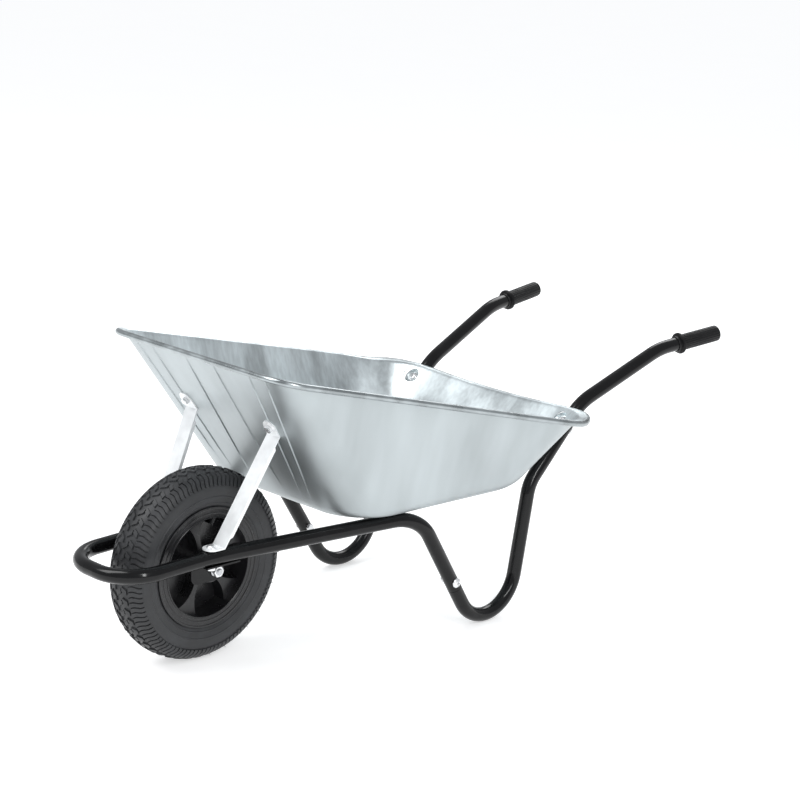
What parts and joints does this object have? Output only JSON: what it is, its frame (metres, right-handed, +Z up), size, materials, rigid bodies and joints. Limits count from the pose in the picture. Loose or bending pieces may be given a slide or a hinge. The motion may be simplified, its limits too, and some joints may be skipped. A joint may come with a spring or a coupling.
{
  "type": "wheelbarrow",
  "caption": "Builder's wheelbarrow: pressed galvanised pan with rolled rim on a black tubular frame, front stays and a spinning pneumatic wheel.",
  "frame": {"origin": "on the ground, under the middle of the overall box", "axes": "+X forward to the nose loop, +Y to the left handle, +Z up"},
  "size_m": [1.3614, 0.6278, 0.558],
  "materials": {
    "galvanised_sheet": "galvanised sheet, drawn streaks, satin",
    "black_powder_coat": "gloss black powder coat",
    "bright_zinc": "bright zinc plate",
    "grip_rubber": "matt black ribbed rubber",
    "tyre_rubber": "dark grey tyre rubber",
    "wheel_plastic": "satin black moulded plastic",
    "bush_plastic": "natural nylon",
    "axle_steel": "plated steel bar",
    "inner_rubber": "butyl rubber",
    "cap_plastic": "black cap"
  },
  "bodies": {
    "barrow": {"pan": "galvanised_sheet", "nose_frame": "black_powder_coat", "leg_handle_left": "black_powder_coat", "leg_handle_right": "black_powder_coat", "grip_left": "grip_rubber", "grip_right": "grip_rubber", "front_stay_left": "bright_zinc", "front_stay_right": "bright_zinc", "stay_foot_bolts": "bright_zinc", "stay_foot_nuts": "bright_zinc", "stay_pan_bolts": "bright_zinc", "stay_pan_washers": "bright_zinc", "stay_pan_nuts": "bright_zinc", "leg_joint_bolts": "bright_zinc", "leg_joint_nuts": "bright_zinc", "rear_pan_bolts": "bright_zinc", "rear_pan_washers": "bright_zinc", "rear_pan_nuts": "bright_zinc", "axle_bracket_left": "black_powder_coat", "axle_bracket_right": "black_powder_coat", "axle": "axle_steel", "axle_nuts": "bright_zinc", "axle_washers": "bright_zinc", "axle_spacers": "axle_steel"},
    "wheel": {"wheel_hub": "wheel_plastic", "hub_bush_left": "bush_plastic", "hub_bush_right": "bush_plastic", "tyre": "tyre_rubber", "inner_tube": "inner_rubber", "valve_stem": "inner_rubber", "valve_cap": "cap_plastic"}
  },
  "joints": [
    {"name": "wheel_spin", "type": "hinge", "parent": "barrow", "child": "wheel", "pos_m": [0.44427, 0, 0.175], "axis": [0, 1, 0], "continuous": true}
  ]
}
